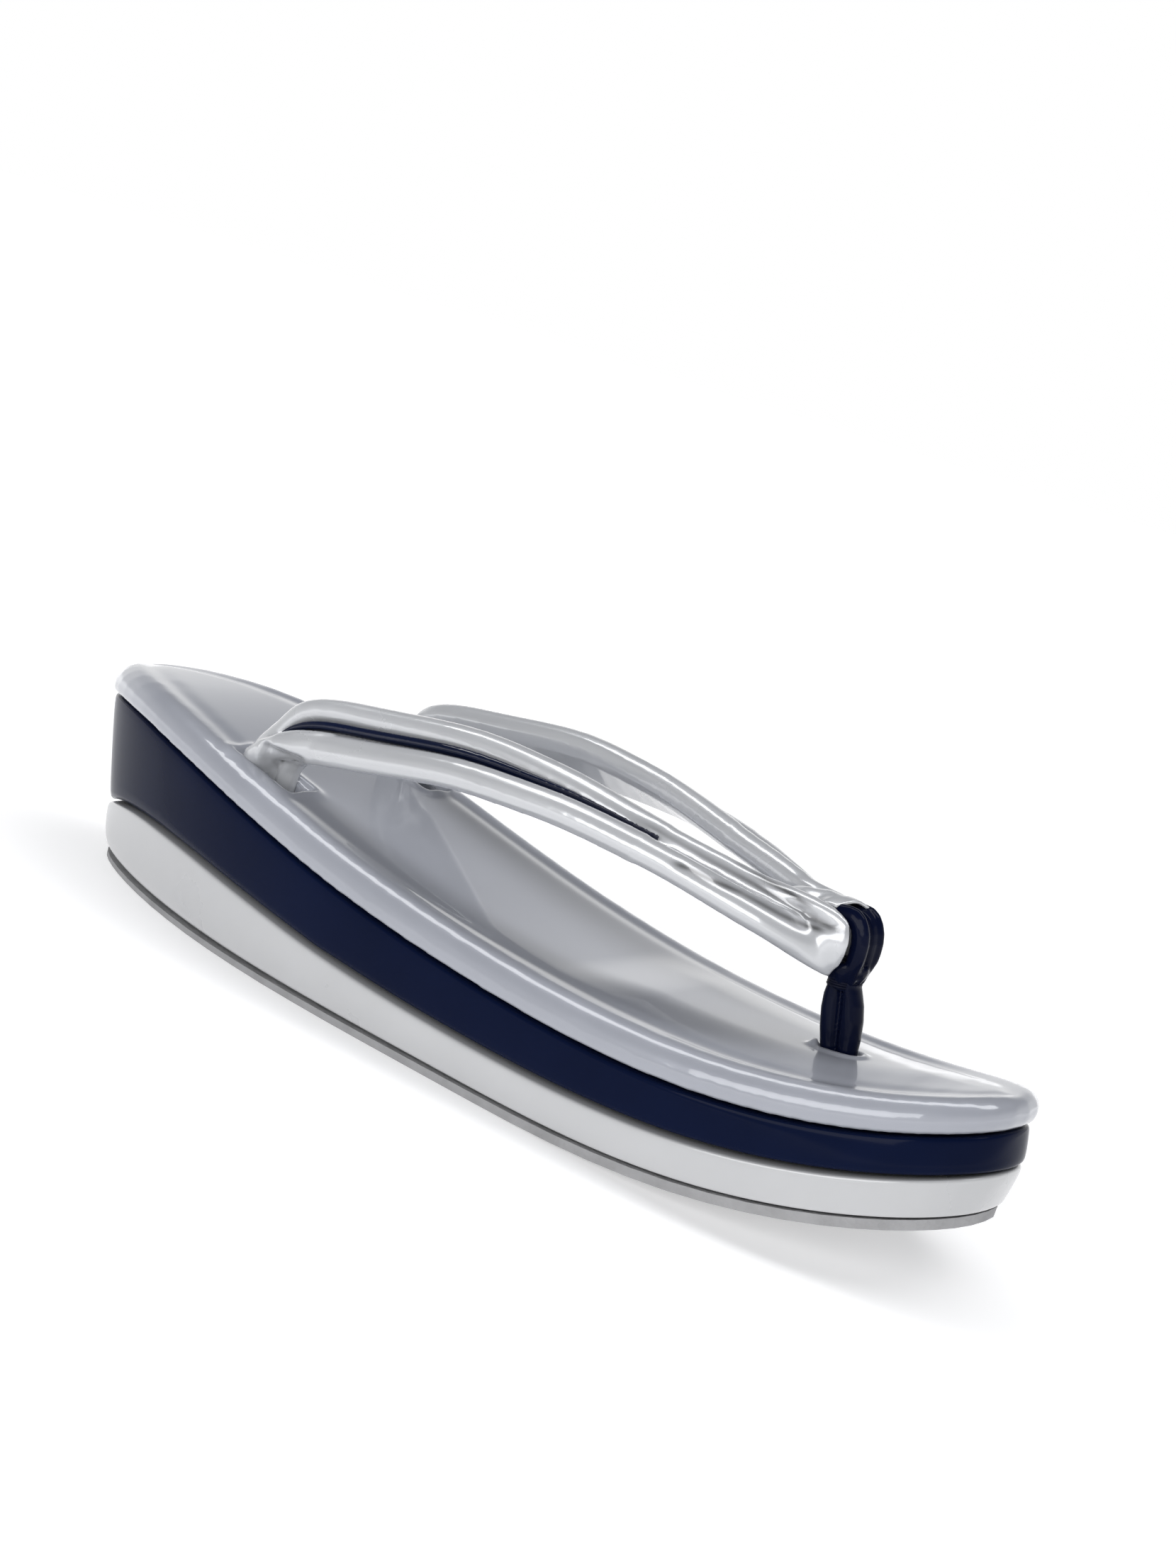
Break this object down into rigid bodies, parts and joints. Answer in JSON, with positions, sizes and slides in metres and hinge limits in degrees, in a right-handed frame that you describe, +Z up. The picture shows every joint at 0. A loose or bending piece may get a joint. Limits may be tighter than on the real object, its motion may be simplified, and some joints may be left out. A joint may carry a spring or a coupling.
{
  "type": "zori sandal",
  "caption": "Wedge-soled zori sandal with a padded top, a twin-roll thong strap and a toe loop on a short post.",
  "frame": {"origin": "on the floor under the middle of the sandal's box", "axes": "+Z up, toe towards +X, the sandal's left side towards +Y"},
  "size_m": [0.239, 0.0738, 0.0666],
  "materials": {
    "outsole": "matt grey sheet with fine grain",
    "lower_wedge": "silver enamel vinyl, glossy",
    "upper_wedge": "navy enamel vinyl, glossy",
    "padded_top": "silver enamel vinyl over a padded board, glossy",
    "strap": "silver enamel vinyl over padded rolls, glossy",
    "strap_inlay": "navy enamel vinyl piping, glossy",
    "toe_loop": "navy enamel vinyl over padding, glossy"
  },
  "bodies": {
    "root": {"outsole": "outsole", "lower_wedge": "lower_wedge", "upper_wedge": "upper_wedge", "padded_top": "padded_top", "strap": "strap", "strap_inlay_near": "strap_inlay", "strap_inlay_far": "strap_inlay", "toe_post": "toe_loop", "toe_loop": "toe_loop"}
  },
  "joints": []
}
